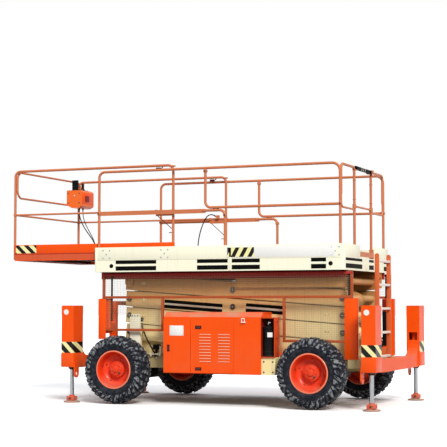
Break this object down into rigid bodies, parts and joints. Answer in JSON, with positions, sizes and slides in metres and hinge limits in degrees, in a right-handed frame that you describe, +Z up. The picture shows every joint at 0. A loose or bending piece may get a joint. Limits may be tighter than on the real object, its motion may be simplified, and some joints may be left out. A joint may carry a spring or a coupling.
{
  "type": "rough-terrain scissor lift",
  "caption": "Four-wheel scissor lift with railed platform, slide-out deck, corner jacks, side boxes and rear ladder.",
  "frame": {"origin": "on the ground, below the middle of the outline box", "axes": "+X to the ladder end, -X to the extension deck, +Z up, Y across"},
  "size_m": [4.8112, 2.29, 2.881],
  "materials": {
    "orange_paint": "gloss",
    "cream_paint": "gloss",
    "khaki_paint": "satin",
    "tyre_rubber": "matt",
    "black_paint": "satin",
    "chrome_rod": "polished",
    "jack_steel": "satin",
    "cable_rubber": "matt",
    "roller_nylon": "matt"
  },
  "bodies": {
    "chassis": {"chassis_frame": "orange_paint", "base_seats": "khaki_paint", "end_frames": "orange_paint", "guards": "orange_paint", "side_box_near": "orange_paint", "side_box_far": "orange_paint", "corner_box": "cream_paint", "engine_block": "black_paint", "canister": "black_paint", "front_axle": "orange_paint", "rear_axle": "orange_paint", "jack_housings": "orange_paint", "ladder": "cream_paint"},
    "steer_near": {"knuckle_near": "orange_paint"},
    "steer_far": {"knuckle_far": "orange_paint"},
    "wheel_front_near": {"tyre_front_near": "tyre_rubber", "rim_front_near": "orange_paint"},
    "wheel_front_far": {"tyre_front_far": "tyre_rubber", "rim_front_far": "orange_paint"},
    "wheel_rear_near": {"tyre_rear_near": "tyre_rubber", "rim_rear_near": "orange_paint"},
    "wheel_rear_far": {"tyre_rear_far": "tyre_rubber", "rim_rear_far": "orange_paint"},
    "jack_front_near": {"jack_leg_front_near": "jack_steel"},
    "jack_front_far": {"jack_leg_front_far": "jack_steel"},
    "jack_rear_near": {"jack_leg_rear_near": "jack_steel"},
    "jack_rear_far": {"jack_leg_rear_far": "jack_steel"},
    "inner_arms_1": {"arms_inner_1": "khaki_paint"},
    "outer_arms_1": {"arms_outer_1": "khaki_paint", "rollers_low": "roller_nylon"},
    "inner_arms_2": {"arms_inner_2": "khaki_paint"},
    "outer_arms_2": {"arms_outer_2": "khaki_paint"},
    "inner_arms_3": {"arms_inner_3": "khaki_paint"},
    "outer_arms_3": {"arms_outer_3": "khaki_paint"},
    "inner_arms_4": {"arms_inner_4": "khaki_paint", "rollers_high": "roller_nylon"},
    "outer_arms_4": {"arms_outer_4": "khaki_paint"},
    "platform": {"platform_deck": "cream_paint", "platform_seats": "khaki_paint", "rails_near": "orange_paint", "rails_far": "orange_paint", "rails_rear": "orange_paint"},
    "ram_barrel_lower": {"ram_barrel_lower": "black_paint"},
    "ram_rod_lower": {"ram_rod_lower": "chrome_rod"},
    "ram_barrel_upper": {"ram_barrel_upper": "black_paint"},
    "ram_rod_upper": {"ram_rod_upper": "chrome_rod"},
    "entry_bar": {"entry_bar": "black_paint"},
    "entry_mid_bar": {"entry_mid_bar": "orange_paint"},
    "extension": {"extension_deck": "orange_paint", "extension_rails_near": "orange_paint", "extension_rails_far": "orange_paint", "extension_rails_front": "orange_paint", "control_box": "orange_paint", "control_cable_1": "cable_rubber", "control_cable_2": "cable_rubber", "deck_hose": "cable_rubber"},
    "door_plain_near": {"door_plain_near": "orange_paint"},
    "door_louvred_near": {"door_louvred_near": "orange_paint"},
    "door_plain_far": {"door_plain_far": "orange_paint"},
    "door_louvred_far": {"door_louvred_far": "orange_paint"}
  },
  "joints": [
    {"name": "steering_near", "type": "hinge", "parent": "chassis", "child": "steer_near", "pos_m": [-0.84635, -0.79, 0.41], "axis": [0, 0, 1], "range_deg": [-25, 25]},
    {"name": "steering_far", "type": "hinge", "parent": "chassis", "child": "steer_far", "pos_m": [-0.84635, 0.79, 0.41], "axis": [0, 0, 1], "range_deg": [-25, 25]},
    {"name": "wheel_front_near_spin", "type": "hinge", "parent": "steer_near", "child": "wheel_front_near", "pos_m": [-0.84635, -0.995, 0.41], "axis": [0, 1, 0], "continuous": true},
    {"name": "wheel_front_far_spin", "type": "hinge", "parent": "steer_far", "child": "wheel_front_far", "pos_m": [-0.84635, 0.995, 0.41], "axis": [0, 1, 0], "continuous": true},
    {"name": "wheel_rear_near_spin", "type": "hinge", "parent": "chassis", "child": "wheel_rear_near", "pos_m": [1.61365, -0.995, 0.41], "axis": [0, 1, 0], "continuous": true},
    {"name": "wheel_rear_far_spin", "type": "hinge", "parent": "chassis", "child": "wheel_rear_far", "pos_m": [1.61365, 0.995, 0.41], "axis": [0, 1, 0], "continuous": true},
    {"name": "jack_front_near_slide", "type": "slide", "parent": "chassis", "child": "jack_front_near", "axis": [0, 0, 1], "range_m": [-0.2, 0.275]},
    {"name": "jack_front_far_slide", "type": "slide", "parent": "chassis", "child": "jack_front_far", "axis": [0, 0, 1], "range_m": [-0.2, 0.275]},
    {"name": "jack_rear_near_slide", "type": "slide", "parent": "chassis", "child": "jack_rear_near", "axis": [0, 0, 1], "range_m": [-0.2, 0.275]},
    {"name": "jack_rear_far_slide", "type": "slide", "parent": "chassis", "child": "jack_rear_far", "axis": [0, 0, 1], "range_m": [-0.2, 0.275]},
    {"name": "scissor_lift", "type": "hinge", "parent": "chassis", "child": "inner_arms_1", "pos_m": [-0.85635, 0, 0.66], "axis": [0, -1, 0], "range_deg": [0, 52.8]},
    {"name": "scissor_centre_pin_1", "type": "hinge", "parent": "inner_arms_1", "child": "outer_arms_1", "pos_m": [0.50865, 0, 0.76], "axis": [0, -1, 0], "range_deg": [-105.6, 0]},
    {"name": "scissor_front_pin_1", "type": "hinge", "parent": "outer_arms_1", "child": "inner_arms_2", "pos_m": [-0.85635, 0, 0.86], "axis": [0, -1, 0], "range_deg": [0, 105.6]},
    {"name": "scissor_centre_pin_2", "type": "hinge", "parent": "inner_arms_2", "child": "outer_arms_2", "pos_m": [0.50865, 0, 0.96], "axis": [0, -1, 0], "range_deg": [-105.6, 0]},
    {"name": "scissor_front_pin_2", "type": "hinge", "parent": "outer_arms_2", "child": "inner_arms_3", "pos_m": [-0.85635, 0, 1.06], "axis": [0, -1, 0], "range_deg": [0, 105.6]},
    {"name": "scissor_centre_pin_3", "type": "hinge", "parent": "inner_arms_3", "child": "outer_arms_3", "pos_m": [0.50865, 0, 1.16], "axis": [0, -1, 0], "range_deg": [-105.6, 0]},
    {"name": "scissor_front_pin_3", "type": "hinge", "parent": "outer_arms_3", "child": "inner_arms_4", "pos_m": [-0.85635, 0, 1.26], "axis": [0, -1, 0], "range_deg": [0, 105.6]},
    {"name": "scissor_centre_pin_4", "type": "hinge", "parent": "inner_arms_4", "child": "outer_arms_4", "pos_m": [0.50865, 0, 1.36], "axis": [0, -1, 0], "range_deg": [-105.6, 0]},
    {"name": "scissor_top_pin", "type": "hinge", "parent": "outer_arms_4", "child": "platform", "pos_m": [-0.85635, 0, 1.46], "axis": [0, -1, 0], "range_deg": [0, 52.8]},
    {"name": "ram_foot_lower", "type": "hinge", "parent": "inner_arms_1", "child": "ram_barrel_lower", "pos_m": [1.78218, 0, 0.91346], "axis": [0, -1, 0], "range_deg": [-112.89, 0]},
    {"name": "ram_stroke_lower", "type": "slide", "parent": "ram_barrel_lower", "child": "ram_rod_lower", "axis": [-0.9909, 0, 0.1343], "range_m": [0, 0.3337]},
    {"name": "ram_foot_upper", "type": "hinge", "parent": "inner_arms_3", "child": "ram_barrel_upper", "pos_m": [1.78218, 0, 1.31346], "axis": [0, -1, 0], "range_deg": [-112.89, 0]},
    {"name": "ram_stroke_upper", "type": "slide", "parent": "ram_barrel_upper", "child": "ram_rod_upper", "axis": [-0.9909, 0, 0.1343], "range_m": [0, 0.3337]},
    {"name": "entry_bar_lift", "type": "hinge", "parent": "platform", "child": "entry_bar", "pos_m": [1.92465, 0.292, 2.801], "axis": [-1, 0, 0], "range_deg": [0, 80]},
    {"name": "entry_mid_bar_slide", "type": "slide", "parent": "platform", "child": "entry_mid_bar", "axis": [0, 0, 1], "range_m": [0, 0.37]},
    {"name": "extension_slide", "type": "slide", "parent": "platform", "child": "extension", "axis": [1, 0, 0], "range_m": [0, 1.169]},
    {"name": "door_plain_near_hinge", "type": "hinge", "parent": "chassis", "child": "door_plain_near", "pos_m": [0.13265, -1.06, 0.7], "axis": [0, 0, 1], "range_deg": [0, 95]},
    {"name": "door_louvred_near_hinge", "type": "hinge", "parent": "chassis", "child": "door_louvred_near", "pos_m": [0.68165, -1.06, 0.7], "axis": [0, 0, 1], "range_deg": [0, 110]},
    {"name": "door_plain_far_hinge", "type": "hinge", "parent": "chassis", "child": "door_plain_far", "pos_m": [0.13265, 1.06, 0.7], "axis": [0, 0, -1], "range_deg": [0, 95]},
    {"name": "door_louvred_far_hinge", "type": "hinge", "parent": "chassis", "child": "door_louvred_far", "pos_m": [0.68165, 1.06, 0.7], "axis": [0, 0, -1], "range_deg": [0, 110]}
  ],
  "couplings": [
    {"joint": "steering_far", "follows": "steering_near", "ratio": 1},
    {"joint": "scissor_centre_pin_1", "follows": "scissor_lift", "ratio": -2},
    {"joint": "scissor_front_pin_1", "follows": "scissor_lift", "ratio": 2},
    {"joint": "scissor_centre_pin_2", "follows": "scissor_lift", "ratio": -2},
    {"joint": "scissor_front_pin_2", "follows": "scissor_lift", "ratio": 2},
    {"joint": "scissor_centre_pin_3", "follows": "scissor_lift", "ratio": -2},
    {"joint": "scissor_front_pin_3", "follows": "scissor_lift", "ratio": 2},
    {"joint": "scissor_centre_pin_4", "follows": "scissor_lift", "ratio": -2},
    {"joint": "scissor_top_pin", "follows": "scissor_lift", "ratio": 1},
    {"joint": "ram_foot_lower", "follows": "scissor_lift", "ratio": -2.1359},
    {"joint": "ram_stroke_lower", "follows": "scissor_lift", "m_per_rad": 0.3617},
    {"joint": "ram_foot_upper", "follows": "scissor_lift", "ratio": -2.1359},
    {"joint": "ram_stroke_upper", "follows": "scissor_lift", "m_per_rad": 0.3617}
  ]
}
